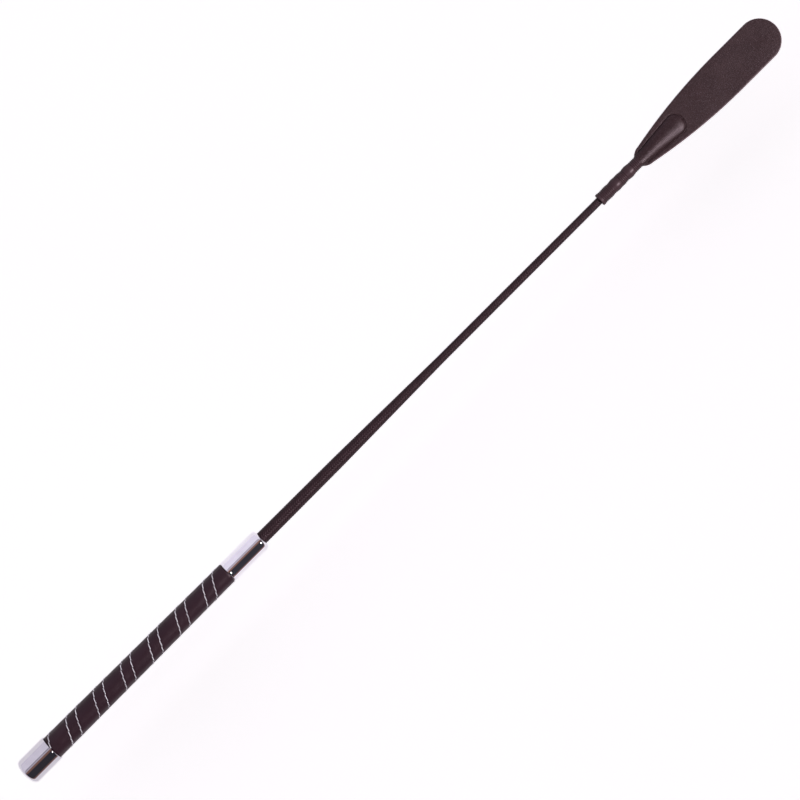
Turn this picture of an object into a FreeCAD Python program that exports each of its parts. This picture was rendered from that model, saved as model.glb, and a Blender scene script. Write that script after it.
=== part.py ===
"""Riding crop: a parametric FreeCAD document, in millimetres.

The crop lies along X, butt at -X and flapper at +X, with its axis parallel to X and the flapper's
broad faces towards +Z and -Z. The origin is under the middle of the crop, on the plane it rests on.
Every sub-part is drawn from its own butt-side end, on the crop's axis, and is then placed.
"""
import FreeCAD, Part
import Sketcher
import math
import os
import re

X_AXIS = FreeCAD.Vector(1, 0, 0)
Y_AXIS = FreeCAD.Vector(0, 1, 0)
Z_AXIS = FreeCAD.Vector(0, 0, 1)

# The driving dimensions: alias, value, what it is. Radii are of round parts about the crop's axis.
DIMENSIONS = [
    ("cap_length", 24.0, "butt cap, apex to rim"),
    ("grip_length", 152.3, "leather grip that shows between cap and collar"),
    ("collar_length", 29.1, "front collar"),
    ("shaft_length", 292.4, "braided shaft that shows between collar and tip ferrule"),
    ("ferrule_length", 34.2, "tip ferrule, without its tongue"),
    ("flapper_length", 118.0, "leather flapper, ferrule to rounded end"),
    ("cap_radius", 8.75, "butt cap, outside; the widest round part, so the axis lies this high"),
    ("cap_wall", 0.8, "wall of the butt cap"),
    ("cap_dome", 1.2, "height of the butt cap's domed end"),
    ("cap_floor", 2.2, "apex of the butt cap to the bottom of its cup"),
    ("cap_edge_radius", 3.0, "rounding round the butt cap's end"),
    ("rim_rounding", 0.35, "rounding of the cap's and the collar's rims"),
    ("leather_tuck", 6.0, "grip leather held inside the butt cap"),
    ("grip_radius_butt", 7.87, "grip leather, outside, at the cap's rim"),
    ("grip_radius_fore", 6.86, "grip leather, outside, at the collar"),
    ("grip_leather_thickness", 1.27, "grip leather"),
    ("leather_end_rounding", 0.5, "pressed-down front end of the grip leather"),
    ("fit_gap", 0.05, "glue gap between pressed-together parts"),
    ("collar_radius", 7.0, "front collar, outside"),
    ("collar_lip_radius", 7.15, "bead round the collar's rim"),
    ("collar_lip_length", 1.3, "length of that bead"),
    ("collar_wall", 0.6, "wall of the front collar"),
    ("collar_face", 0.9, "thickness of the collar's front face"),
    ("collar_shoulder_radius", 2.7, "rounded shoulder of the collar"),
    ("braid_tuck", 13.0, "braid held inside the collar and the handle core"),
    ("braid_thickness", 0.7, "wall of the braided cover"),
    ("shaft_radius_handle", 4.03, "braided shaft at the collar"),
    ("shaft_radius_upper", 3.82, "braided shaft at the end of its slow upper taper"),
    ("shaft_radius_lower", 2.5, "braided shaft at the start of its slow lower taper"),
    ("shaft_radius_tip", 2.33, "braided shaft at the tip ferrule"),
    ("upper_taper_length", 66.0, "slow taper next to the handle"),
    ("lower_taper_length", 138.0, "slow taper next to the tip ferrule"),
    ("braid_depth", 9.0, "braid held inside the tip ferrule"),
    ("rod_depth", 24.0, "rod held inside the tip ferrule"),
    ("ferrule_radius", 4.25, "tip ferrule, over its ridges"),
    ("ferrule_waist_radius", 3.95, "tip ferrule, at its smooth waists"),
    ("ferrule_end_radius", 4.1, "tip ferrule, where it meets the flapper"),
    ("rear_bulge", 7.2, "ferrule's shaft end to the end of its rear swelling"),
    ("rear_waist", 11.2, "the same, to its rear waist"),
    ("middle_bulge_start", 13.8, "the same, to the start of its middle swelling"),
    ("middle_bulge_end", 18.4, "the same, to the end of its middle swelling"),
    ("front_waist", 22.0, "the same, to its front waist"),
    ("front_bulge", 25.2, "the same, to its front swelling"),
    ("neck_start", 28.2, "the same, to the start of its straight neck"),
    ("ridge_pitch", 1.13, "spacing of the ferrule's ring ridges"),
    ("ridge_groove_radius", 0.3, "round groove between two ridges"),
    ("ridge_groove_rise", 0.08, "centre of that groove, above the ridges"),
    ("rear_ridges", 2.7, "ferrule's shaft end to the first groove of its rear band of ridges"),
    ("middle_ridges", 17.9, "the same, middle band"),
    ("front_ridges", 28.2, "the same, front band"),
    ("boss_length", 37.5, "raised tongue-shaped boss of the flapper"),
    ("boss_end_length", 6.5, "rounded end of that boss"),
    ("boss_root_radius", 4.15, "boss at the ferrule, where it is round"),
    ("boss_root_oval", 0.01, "how much more than round the boss is in width at the ferrule"),
    ("boss_half_width", 7.05, "boss at its widest"),
    ("boss_half_height", 3.0, "boss at its widest, above the middle plane"),
    ("leather_thickness", 1.25, "each of the flapper's two leather layers"),
    ("tongue_gap", 0.03, "glue gap between the tongue and the leather"),
    ("tongue_overlap", 1.0, "start of the tongue, inside the ferrule"),
    ("shoulder_length", 5.6, "rounded shoulder of the flapper"),
    ("shoulder_curve_radius", 8.9, "curve of the shoulder"),
    ("flapper_half_width", 13.65, "flapper at its widest"),
    ("flapper_flare_length", 77.3, "ferrule to where the sides become parallel"),
    ("side_curve_radius", 369.0, "long curve of the flapper's sides"),
    ("flex_line", 44.0, "ferrule to the line that the flapper bends about"),
    ("flex_gap", 0.3, "slit at that line, which lets the flapper's free end turn"),
    ("flex_roll", 1.22, "rolled root of the free end, about the flex line"),
    ("thread_radius", 0.33, "grip stitching thread"),
    ("thread_stitch_length", 3.5, "one stitch"),
    ("thread_clearance", 0.03, "thread above the leather"),
    ("wrap_pitch", 23.46, "one turn of the wound leather strip, along the handle"),
    ("seam_position", 25.1, "butt cap's rim to where the seam crosses the +Y side"),
    ("row_offset", 4.1, "seam to each row of stitches, along the handle"),
    ("row_margin", 2.4, "stitch-free length at each end of the grip"),
]
STITCHES_PER_TURN = 12
BOSS_END_TURNS = (0, 20, 40, 60, 75)    # degrees round the quarter curve that ends the boss
RIDGE_GROOVES = {"rear_ridges": 8, "middle_ridges": 4, "front_ridges": 5}

doc = FreeCAD.newDocument("riding_crop")


def make_sheet():
    """Puts the driving dimensions in a spreadsheet, one alias a row."""
    sheet = doc.addObject("Spreadsheet::Sheet", "Sizes")
    for row, (alias, value, meaning) in enumerate(DIMENSIONS, start=1):
        sheet.set(f"A{row}", meaning)
        sheet.set(f"B{row}", str(value))
        sheet.setAlias(f"B{row}", alias)
    doc.recompute()
    return sheet


SHEET = make_sheet()
ALIASES = {alias for alias, _, _ in DIMENSIONS}


def formula(text):
    """Writes a formula over plain aliases the way an expression names the sheet's cells."""
    return re.sub(r"[a-z_]+", lambda word: "Sizes." + word[0] if word[0] in ALIASES else word[0], text)


def size(text):
    """The present value, in millimetres, of a formula over the sheet's aliases."""
    return float(SHEET.evalExpression(formula(text)))


# Stations along X, each a formula over the sheet.
OVERALL = "(cap_length + grip_length + collar_length + shaft_length + ferrule_length + flapper_length)"
CAP_START = f"-{OVERALL} / 2"
GRIP_START = f"{CAP_START} + cap_length"
COLLAR_START = f"{GRIP_START} + grip_length"
SHAFT_START = f"{COLLAR_START} + collar_length"
FERRULE_START = f"{SHAFT_START} + shaft_length"
FLAPPER_START = f"{FERRULE_START} + ferrule_length"
AXIS_HEIGHT = "cap_radius"


def put(thing, station):
    """Places a sub-part's butt-side end at a station on the crop's axis."""
    thing.setExpression("Placement.Base.x", formula(station))
    thing.setExpression("Placement.Base.z", formula(AXIS_HEIGHT))
    return thing


def origin_plane(body, role):
    """The body's own origin plane with that role, such as XZ_Plane."""
    return next(plane for plane in body.Origin.OriginFeatures if plane.Role == role)


def arc_edge(start, end, radius):
    """An arc from start to end that bulges to the left of that direction if radius is positive."""
    chord = end - start
    middle = (start + end) * 0.5
    left = FreeCAD.Vector(-chord.y, chord.x, 0).normalize()
    rise = math.sqrt(max(radius * radius - chord.Length ** 2 / 4, 0))
    centre = middle - left * math.copysign(rise, radius)
    circle = Part.Circle(centre, Z_AXIS, abs(radius))
    first, last = (end, start) if radius > 0 else (start, end)
    angles = [math.atan2(point.y - centre.y, point.x - centre.x) for point in (first, last)]
    return Part.ArcOfCircle(circle, angles[0], angles[1])


def hold_point(sketch, edge, end, formulas):
    """Fixes one end of an edge at a point given by formulas, on an axis where one of them is 0."""
    for kind, axis, text in (("DistanceX", -2, formulas[0]), ("DistanceY", -1, formulas[1])):
        if text == "0":
            sketch.addConstraint(Sketcher.Constraint("PointOnObject", edge, end, axis))
        else:
            index = sketch.addConstraint(Sketcher.Constraint(kind, -1, 1, edge, end, size(text)))
            sketch.setExpression(f"Constraints[{index}]", formula(text))


def draw_outline(body, name, plane, corners):
    """Draws a closed outline on one of the body's origin planes.

    Each corner is (x, y) or (x, y, radius), all formulas; a radius makes the edge that leaves the
    corner an arc, which bulges left if the radius is positive and right if it starts with a minus.
    """
    sketch = body.newObject("Sketcher::SketchObject", name)
    sketch.AttachmentSupport = [(origin_plane(body, plane), "")]
    sketch.MapMode = "FlatFace"
    points = [FreeCAD.Vector(size(corner[0]), size(corner[1]), 0) for corner in corners]
    starts = []
    ends = []
    for index, corner in enumerate(corners):
        start = points[index]
        end = points[(index + 1) % len(points)]
        reverse = False
        if len(corner) == 3:
            radius = size(corner[2])
            reverse = radius > 0
            edge = sketch.addGeometry(arc_edge(start, end, radius))
            bound = sketch.addConstraint(Sketcher.Constraint("Radius", edge, abs(radius)))
            sketch.setExpression(f"Constraints[{bound}]", formula(corner[2].lstrip("-")))
        else:
            edge = sketch.addGeometry(Part.LineSegment(start, end))
        starts.append((edge, 2 if reverse else 1))
        ends.append((edge, 1 if reverse else 2))
    for index, corner in enumerate(corners):
        sketch.addConstraint(Sketcher.Constraint("Coincident", *ends[index - 1], *starts[index]))
        hold_point(sketch, *starts[index], corner[:2])
    return sketch


def turned(name, station, outline, fillets=()):
    """A round sub-part: its outline (distance along the crop, radius) turned about the crop's axis.

    Each fillet is (radius, distance along, circle radius), for the edge that lies there.
    """
    body = doc.addObject("PartDesign::Body", name)
    sketch = draw_outline(body, f"{name}_outline", "XZ_Plane", outline)
    turn = body.newObject("PartDesign::Revolution", f"{name}_turn")
    turn.Profile = sketch
    turn.ReferenceAxis = (sketch, ["H_Axis"])
    turn.Angle = 360
    doc.recompute()
    for index, (rounding, along, radius) in enumerate(fillets):
        round_ring(body, f"{name}_rounding_{index}", rounding, along, radius)
    return put(body, station)


def round_ring(body, name, rounding, along, radius):
    """Rounds the circular edge of the body's last feature that has this place and radius."""
    base = body.Tip
    place = (size(along), size(radius))
    names = [f"Edge{index}" for index, edge in enumerate(base.Shape.Edges, start=1)
             if is_ring(edge, *place)]
    fillet = body.newObject("PartDesign::Fillet", name)
    fillet.Base = (base, names)
    fillet.setExpression("Radius", formula(rounding))
    doc.recompute()


def is_ring(edge, along, radius):
    """Whether an edge is a circle about the crop's axis at this distance and of this radius."""
    if edge.Degenerated or edge.Curve.TypeId != "Part::GeomCircle":
        return False
    curve = edge.Curve
    return abs(curve.Center.x - along) < 1e-4 and abs(curve.Radius - radius) < 1e-4


def extruded(name, station, outline, thickness, side):
    """A flat sub-part: its outline in plan, thickened upwards (side 1) or downwards (side -1)."""
    body = doc.addObject("PartDesign::Body", name)
    sketch = draw_outline(body, f"{name}_outline", "XY_Plane", outline)
    pad = body.newObject("PartDesign::Pad", f"{name}_pad")
    pad.Profile = sketch
    pad.Reversed = side < 0
    pad.setExpression("Length", formula(thickness))
    doc.recompute()
    return put(body, station)


def make_butt_cap():
    """The chromed cup: shallow dome, rounded end, thin wall and softened rim."""
    dome_radius = "((cap_radius ^ 2 + cap_dome ^ 2) / (2 * cap_dome))"
    outline = [
        ("0", "0", dome_radius),
        ("cap_dome", "cap_radius"),
        ("cap_length", "cap_radius"),
        ("cap_length", "cap_radius - cap_wall"),
        ("cap_floor", "cap_radius - cap_wall"),
        ("cap_floor", "0"),
    ]
    fillets = [("cap_edge_radius", "cap_dome", "cap_radius"), ("rim_rounding", "cap_length", "cap_radius")]
    return turned("butt_cap", CAP_START, outline, fillets)


def make_grip_core():
    """The moulded handle core: a boss that fills the cap, the leather's seat and the collar's spigot."""
    boss_end = "(cap_length - leather_tuck - cap_floor)"
    collar = "(cap_length + grip_length - cap_floor)"
    core_end = f"({collar} + collar_length - collar_face - fit_gap)"
    slope = "((grip_radius_butt - grip_radius_fore) / grip_length)"
    seat_butt = f"(grip_radius_butt + {slope} * leather_tuck - grip_leather_thickness)"
    seat_fore = "(grip_radius_fore - grip_leather_thickness)"
    rod_bore = "(shaft_radius_handle - braid_thickness + fit_gap)"
    braid_bore = "(shaft_radius_handle + fit_gap)"
    braid_start = f"({collar} + collar_length - braid_tuck - fit_gap)"
    outline = [
        ("0", rod_bore),
        (braid_start, rod_bore),
        (braid_start, braid_bore),
        (core_end, braid_bore),
        (core_end, "collar_radius - collar_wall - fit_gap"),
        (f"{collar} + fit_gap", "collar_radius - collar_wall - fit_gap"),
        (f"{collar} + fit_gap", seat_fore),
        (boss_end, seat_butt),
        (boss_end, "cap_radius - cap_wall - fit_gap"),
        ("0", "cap_radius - cap_wall - fit_gap"),
    ]
    return turned("grip_core", f"{CAP_START} + cap_floor", outline)


def make_grip_leather():
    """The wound leather strip as one tapered sleeve, its butt end held inside the cap."""
    slope = "((grip_radius_butt - grip_radius_fore) / grip_length)"
    outer_butt = f"(grip_radius_butt + {slope} * leather_tuck)"
    length = "(leather_tuck + grip_length)"
    outline = [
        ("0", f"{outer_butt} - grip_leather_thickness"),
        (length, "grip_radius_fore - grip_leather_thickness"),
        (length, "grip_radius_fore"),
        ("0", outer_butt),
    ]
    fillets = [("leather_end_rounding", length, "grip_radius_fore")]
    return turned("grip_leather", f"{GRIP_START} - leather_tuck", outline, fillets)


def make_stitch_row(name, offset):
    """One row of stitches: short straight threads along a left-handed helix on the tapered leather."""
    pitch = size("wrap_pitch")
    length = size("grip_length")
    butt_radius = size("grip_radius_butt")
    taper = (size("grip_radius_fore") - butt_radius) / length
    lift = size("thread_radius + thread_clearance")
    margin = size("row_margin")
    step = pitch / STITCHES_PER_TURN
    seam = size("seam_position") + offset
    stitches = []
    for count in range(math.ceil((margin - seam) / step), math.floor((length - margin - seam) / step) + 1):
        along = seam + count * step
        angle = -2 * math.pi * count / STITCHES_PER_TURN
        radius = butt_radius + taper * along + lift
        outward = FreeCAD.Vector(0, math.cos(angle), math.sin(angle))
        round_about = FreeCAD.Vector(0, -math.sin(angle), math.cos(angle))
        run = (X_AXIS * pitch - round_about * (2 * math.pi * radius)).normalize()
        middle = X_AXIS * along + outward * radius
        stitch = size("thread_stitch_length")
        stitches.append(Part.makeCylinder(size("thread_radius"), stitch, middle - run * (stitch / 2), run))
    row = doc.addObject("Part::Feature", name)
    row.Shape = Part.makeCompound(stitches)
    return put(row, GRIP_START)


def make_front_collar():
    """The chromed collar: beaded rim, straight wall and rounded shoulder closing round the shaft."""
    hole = "shaft_radius_handle + fit_gap"
    outline = [
        ("0", "collar_radius - collar_wall"),
        ("collar_length - collar_face", "collar_radius - collar_wall"),
        ("collar_length - collar_face", hole),
        ("collar_length", hole),
        ("collar_length", "collar_radius"),
        ("collar_lip_length", "collar_radius"),
        ("collar_lip_length", "collar_lip_radius"),
        ("0", "collar_lip_radius"),
    ]
    fillets = [
        ("collar_shoulder_radius", "collar_length", "collar_radius"),
        ("rim_rounding", "0", "collar_lip_radius"),
    ]
    return turned("front_collar", COLLAR_START, outline, fillets)


# The shaft's taper: (distance from the collar's front, radius over the braid).
TAPER = [
    ("0", "shaft_radius_handle"),
    ("upper_taper_length", "shaft_radius_upper"),
    ("(shaft_length - lower_taper_length)", "shaft_radius_lower"),
    ("shaft_length", "shaft_radius_tip"),
]


def make_braid_sleeve():
    """The braided cover: it fits the tapered rod and runs from inside the collar into the ferrule."""
    front = "(shaft_length + braid_depth)"
    outer = [("0 - braid_tuck", "shaft_radius_handle"), *TAPER, (front, "shaft_radius_tip")]
    inner = [(along, f"{radius} - braid_thickness") for along, radius in outer]
    outline = [(f"{along} + braid_tuck", radius) for along, radius in inner + outer[::-1]]
    outline[0] = ("0", inner[0][1])
    outline[-1] = ("0", outer[0][1])
    return turned("braid_sleeve", f"{SHAFT_START} - braid_tuck", outline)


def make_core_rod():
    """The glass-fibre rod: straight through the handle, then tapered to its end in the tip ferrule."""
    handle = "(cap_length + grip_length + collar_length - cap_floor)"
    outer = [(f"{handle} + {along}", f"{radius} - braid_thickness") for along, radius in TAPER]
    tip = (f"{handle} + shaft_length + rod_depth", "shaft_radius_tip - braid_thickness")
    outline = [("0", "0"), (tip[0], "0"), tip, *outer[::-1], ("0", "shaft_radius_handle - braid_thickness")]
    return turned("core_rod", f"{CAP_START} + cap_floor", outline)


def ellipse_station(name, along, half_width, half_height):
    """An ellipse across the crop, wide along Y and high along Z."""
    ellipse = doc.addObject("Part::Ellipse", name)
    ellipse.Placement.Rotation = FreeCAD.Rotation(Y_AXIS, Z_AXIS, X_AXIS, "XYZ")
    ellipse.setExpression("MajorRadius", formula(half_width))
    ellipse.setExpression("MinorRadius", formula(half_height))
    return put(ellipse, f"{FLAPPER_START} + {along}")


def make_paddle(name, back, inset):
    """A tongue that widens and flattens from a round root to a rounded end, inset from the boss."""
    widest = "(boss_length - boss_end_length)"
    root = (f"boss_root_radius + boss_root_oval - {inset}", f"boss_root_radius - {inset}")
    stations = [ellipse_station(f"{name}_root", f"0 - {back}", *root)]
    for turn in BOSS_END_TURNS:
        reach = f"{widest} + (boss_end_length - {inset}) * sin({turn} deg)"
        half_width = f"(boss_half_width - {inset}) * cos({turn} deg)"
        half_height = f"(boss_half_height - {inset}) * cos({turn} deg)"
        stations.append(ellipse_station(f"{name}_{turn}", reach, half_width, half_height))
    loft = doc.addObject("Part::Loft", f"{name}_loft")
    loft.Sections = stations
    loft.Solid = True
    loft.Ruled = True
    return loft


def join(name, kind, pieces):
    """A boolean of kind Part::MultiFuse or Part::MultiCommon over several objects."""
    result = doc.addObject(kind, name)
    result.Shapes = pieces
    return result


def cut(name, base, tool):
    """The base with the tool taken out of it."""
    result = doc.addObject("Part::Cut", name)
    result.Base = base
    result.Tool = tool
    return result


def make_tip_ferrule():
    """The ridged moulding, its stepped bore for braid and rod, and its tongue inside the flapper."""
    braid_bore = "shaft_radius_tip + fit_gap"
    rod_bore = "shaft_radius_tip - braid_thickness + fit_gap"
    outline = [
        ("0", braid_bore),
        ("braid_depth + fit_gap", braid_bore),
        ("braid_depth + fit_gap", rod_bore),
        ("rod_depth + fit_gap", rod_bore),
        ("rod_depth + fit_gap", "0"),
        ("ferrule_length", "0"),
        ("ferrule_length", "ferrule_end_radius"),
        ("neck_start", "ferrule_waist_radius"),
        ("front_bulge", "ferrule_radius"),
        ("front_waist", "ferrule_waist_radius"),
        ("middle_bulge_end", "ferrule_radius"),
        ("middle_bulge_start", "ferrule_radius"),
        ("rear_waist", "ferrule_waist_radius"),
        ("rear_bulge", "ferrule_radius"),
        ("0", "ferrule_radius"),
    ]
    body = turned("ferrule_moulding", FERRULE_START, outline)
    for band, count in RIDGE_GROOVES.items():
        cut_ridges(body, band, count)
    tongue = make_paddle("tongue", "tongue_overlap", "leather_thickness")
    return join("tip_ferrule", "Part::MultiFuse", [body, tongue])


def cut_ridges(body, band, count):
    """Cuts a band of ring grooves, which leaves the ridges between them."""
    sketch = body.newObject("Sketcher::SketchObject", f"{band}_section")
    sketch.AttachmentSupport = [(origin_plane(body, "XZ_Plane"), "")]
    sketch.MapMode = "FlatFace"
    centre = (band, "ferrule_radius + ridge_groove_rise")
    middle = FreeCAD.Vector(size(centre[0]), size(centre[1]), 0)
    ring = sketch.addGeometry(Part.Circle(middle, Z_AXIS, size("ridge_groove_radius")))
    hold_point(sketch, ring, 3, centre)
    bound = sketch.addConstraint(Sketcher.Constraint("Radius", ring, size("ridge_groove_radius")))
    sketch.setExpression(f"Constraints[{bound}]", formula("ridge_groove_radius"))
    groove = body.newObject("PartDesign::Groove", f"{band}_groove")
    groove.Profile = sketch
    groove.ReferenceAxis = (sketch, ["H_Axis"])
    groove.Angle = 360
    doc.recompute()
    pattern = body.newObject("PartDesign::LinearPattern", f"{band}_pattern")
    pattern.Originals = [groove]
    pattern.Direction = (sketch, ["H_Axis"])
    pattern.setExpression("Length", formula(f"ridge_pitch * {count - 1}"))
    pattern.Occurrences = count
    body.Tip = pattern
    doc.recompute()


def half_width(along):
    """The flapper's half width where its sides flare, at a distance from the ferrule."""
    return f"(flapper_half_width - (flapper_flare_length - {along}) ^ 2 / (2 * side_curve_radius))"


FREE_END_START = "(flex_line - leather_thickness)"
HELD_END = f"({FREE_END_START} - flex_gap)"
SIDES = {"front": 1, "back": -1}


def mirrored_outline(side, tip=()):
    """A closed plan outline from its side, butt to tip: (distance along, half width, arc if any)."""
    lower = [(along, f"0 - {width}", *arc) for along, width, *arc in side]
    upper = [(side[0][0], side[0][1])]
    for before, point in zip(side, side[1:]):
        upper.append((*point[:2], *before[2:]))
    return [*lower, *tip, *reversed(upper)]


def make_boss_halves():
    """The boss that the leather forms over the tongue, cut at the middle plane into two halves."""
    boss = make_paddle("boss", "0", "0")
    halves = {}
    for name, side in SIDES.items():
        block = doc.addObject("Part::Box", f"boss_{name}_block")
        block.setExpression("Length", formula("boss_length"))
        block.setExpression("Width", formula("2 * boss_half_width"))
        block.setExpression("Height", formula("2 * boss_root_radius"))
        put(block, FLAPPER_START)
        block.setExpression("Placement.Base.y", formula("0 - boss_half_width"))
        if side < 0:
            block.setExpression("Placement.Base.z", formula(f"{AXIS_HEIGHT} - 2 * boss_root_radius"))
        halves[name] = join(f"boss_{name}_half", "Part::MultiCommon", [boss, block])
    return halves


def make_held_leather(name, side, boss_half, cavity):
    """The part of a flapper layer that is fixed on the ferrule's tongue, with its half of the boss."""
    lower = [
        ("0", "boss_root_radius", "-shoulder_curve_radius"),
        ("shoulder_length", half_width("shoulder_length"), "-side_curve_radius"),
        (HELD_END, half_width(HELD_END)),
    ]
    sheet = extruded(f"{name}_sheet", FLAPPER_START, mirrored_outline(lower), "leather_thickness", side)
    formed = join(f"{name}_formed", "Part::MultiFuse", [sheet, boss_half])
    return cut(name, formed, cavity)


def make_free_leather(name, side):
    """The part of a flapper layer that swings: long flaring sides, a round end and a rolled root."""
    lower = [
        (FREE_END_START, half_width(FREE_END_START), "-side_curve_radius"),
        ("flapper_flare_length", "flapper_half_width"),
        ("flapper_length - flapper_half_width", "flapper_half_width", "-flapper_half_width"),
    ]
    tip = [("flapper_length", "0", "-flapper_half_width")]
    body = extruded(name, FLAPPER_START, mirrored_outline(lower, tip), "leather_thickness", side)
    roll_root(body, f"{name}_rolled_root", side)
    return body


def roll_root(body, name, side):
    """Rounds the free end's root so that it turns about the flex line without leaving its place."""
    base = body.Tip
    root = size(FREE_END_START)
    face = side * size("leather_thickness")
    names = [f"Edge{index}" for index, edge in enumerate(base.Shape.Edges, start=1)
             if all(abs(corner.X - root) < 1e-4 and abs(corner.Z - face) < 1e-4 for corner in edge.Vertexes)]
    fillet = body.newObject("PartDesign::Fillet", name)
    fillet.Base = (base, names)
    fillet.setExpression("Radius", formula("flex_roll"))
    doc.recompute()


def make_flapper():
    """The flapper's two leather layers, each as a held part and a free part."""
    halves = make_boss_halves()
    cavity = make_paddle("cavity", "tongue_overlap", "(leather_thickness - tongue_gap)")
    parts = []
    for name, side in SIDES.items():
        parts.append(make_held_leather(f"flapper_{name}_root", side, halves[name], cavity))
        parts.append(make_free_leather(f"flapper_{name}_blade", side))
    return parts


def check_document():
    """Stops if any object of the document failed."""
    for thing in doc.Objects:
        if "Invalid" in thing.State or "Error" in thing.State:
            raise RuntimeError(f"{thing.Label} failed: {thing.State}")


def export(parts):
    """Writes each sub-part to parts/ under its label, once all of them are whole."""
    for part in parts:
        if part.Shape.isNull() or not part.Shape.isValid() or part.Shape.Volume <= 0:
            raise RuntimeError(f"{part.Label} has no valid shape")
    os.makedirs("parts", exist_ok=True)
    for part in parts:
        part.Shape.exportStep(f"parts/{part.Label}.step")
        box = part.Shape.optimalBoundingBox()
        print(f"{part.Label:22} {len(part.Shape.Solids):4} solids {part.Shape.Volume:9.1f} mm3  "
              f"x {box.XMin:8.2f} {box.XMax:8.2f}  y {box.YMin:6.2f} {box.YMax:6.2f}  "
              f"z {box.ZMin:6.2f} {box.ZMax:6.2f}")


def main():
    """Builds every sub-part, butt to tip, and writes them."""
    parts = [
        make_butt_cap(),
        make_grip_core(),
        make_grip_leather(),
        make_stitch_row("grip_thread_aft", -size("row_offset")),
        make_stitch_row("grip_thread_fore", size("row_offset")),
        make_front_collar(),
        make_core_rod(),
        make_braid_sleeve(),
        make_tip_ferrule(),
        *make_flapper(),
    ]
    doc.recompute()
    check_document()
    export(parts)


main()
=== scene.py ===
"""The look of the riding crop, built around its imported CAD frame. Lengths in the code are millimetres,
measured along the crop from the start of each piece, and MM turns them into the frame's metres."""
import math

import bmesh
import bpy
import numpy as np
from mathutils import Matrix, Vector


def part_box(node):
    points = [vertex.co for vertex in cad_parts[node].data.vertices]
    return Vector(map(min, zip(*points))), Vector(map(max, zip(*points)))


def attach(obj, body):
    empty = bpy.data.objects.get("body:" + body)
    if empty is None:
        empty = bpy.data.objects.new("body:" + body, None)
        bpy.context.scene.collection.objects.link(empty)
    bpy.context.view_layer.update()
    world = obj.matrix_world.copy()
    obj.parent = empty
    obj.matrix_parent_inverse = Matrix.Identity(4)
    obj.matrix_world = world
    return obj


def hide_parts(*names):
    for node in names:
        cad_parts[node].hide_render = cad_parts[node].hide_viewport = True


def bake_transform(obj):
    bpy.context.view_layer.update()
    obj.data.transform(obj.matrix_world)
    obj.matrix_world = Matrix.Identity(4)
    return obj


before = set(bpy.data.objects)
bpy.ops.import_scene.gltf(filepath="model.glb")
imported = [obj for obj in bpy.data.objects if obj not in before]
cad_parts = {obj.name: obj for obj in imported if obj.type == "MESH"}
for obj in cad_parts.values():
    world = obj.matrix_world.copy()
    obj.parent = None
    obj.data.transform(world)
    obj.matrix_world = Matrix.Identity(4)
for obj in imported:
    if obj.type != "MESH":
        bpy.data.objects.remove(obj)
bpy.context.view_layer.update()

MM = 0.001
TAU = 2 * math.pi

# ---------------------------------------------------------------- stations, read from the frame
CAP_LOW, CAP_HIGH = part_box("butt_cap")
COLLAR_LOW, COLLAR_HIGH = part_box("front_collar")
FERRULE_LOW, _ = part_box("tip_ferrule")
ROOT_LOW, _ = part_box("flapper_front_root")
_, TIP_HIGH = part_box("flapper_front_blade")
AXIS_HEIGHT = (CAP_LOW.z + CAP_HIGH.z) / 2

CAP_START = CAP_LOW.x / MM
GRIP_START = CAP_HIGH.x / MM
COLLAR_START = COLLAR_LOW.x / MM
SHAFT_START = COLLAR_HIGH.x / MM
FERRULE_START = FERRULE_LOW.x / MM
FLAPPER_START = ROOT_LOW.x / MM
FLAPPER_END = TIP_HIGH.x / MM

CAP_LENGTH = GRIP_START - CAP_START
GRIP_LENGTH = COLLAR_START - GRIP_START
COLLAR_LENGTH = SHAFT_START - COLLAR_START
SHAFT_LENGTH = FERRULE_START - SHAFT_START
FERRULE_LENGTH = FLAPPER_START - FERRULE_START
FLAPPER_LENGTH = FLAPPER_END - FLAPPER_START
CAP_RADIUS = (CAP_HIGH.y - CAP_LOW.y) / 2 / MM


# ---------------------------------------------------------------- mesh helpers
def add_mesh(name, points, faces, material_indices=None):
    """A smooth-shaded mesh object from points in millimetres (x along the crop, y, z from its axis)."""
    placed = np.asarray(points, float) * MM
    placed[:, 2] += AXIS_HEIGHT
    mesh = bpy.data.meshes.new(name)
    mesh.from_pydata(placed.tolist(), [], [list(map(int, face)) for face in faces])
    mesh.validate()
    mesh.polygons.foreach_set("use_smooth", np.ones(len(mesh.polygons), bool))
    if material_indices is not None:
        mesh.polygons.foreach_set("material_index", np.asarray(material_indices, np.int32))
    mesh.update()
    piece = bpy.data.objects.new(name, mesh)
    bpy.context.scene.collection.objects.link(piece)
    return piece


def grid_faces(rows, columns, wrap_rows=False, wrap_columns=False, first=0):
    """Quads of a grid of points stored row by row, joined end to end where it wraps."""
    row = np.arange(rows if wrap_rows else rows - 1)[:, None]
    column = np.arange(columns if wrap_columns else columns - 1)[None, :]
    next_row = (row + 1) % rows
    next_column = (column + 1) % columns
    quads = np.stack([
        row * columns + column,
        next_row * columns + column,
        next_row * columns + next_column,
        row * columns + next_column,
    ], axis=-1)
    return quads.reshape(-1, 4) + first


def around(along, radius, angle):
    """Points on circles about the crop's axis; an angle of 0 faces +Y and a quarter turn faces +Z."""
    along, radius, angle = np.broadcast_arrays(along, radius, angle)
    return np.stack([along, radius * np.cos(angle), radius * np.sin(angle)], axis=-1).reshape(-1, 3)


def lathe(name, outline, segments=144):
    """A closed outline of (distance along, radius) turned about the crop's axis."""
    outline = np.array(outline, float)
    angles = np.linspace(0, TAU, segments, endpoint=False)
    points = around(outline[:, :1], outline[:, 1:], angles[None, :])
    faces = grid_faces(len(outline), segments, wrap_rows=True, wrap_columns=True)
    piece = add_mesh(name, points, faces)
    merge_close(piece, 0.001 * MM)
    return piece


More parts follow.
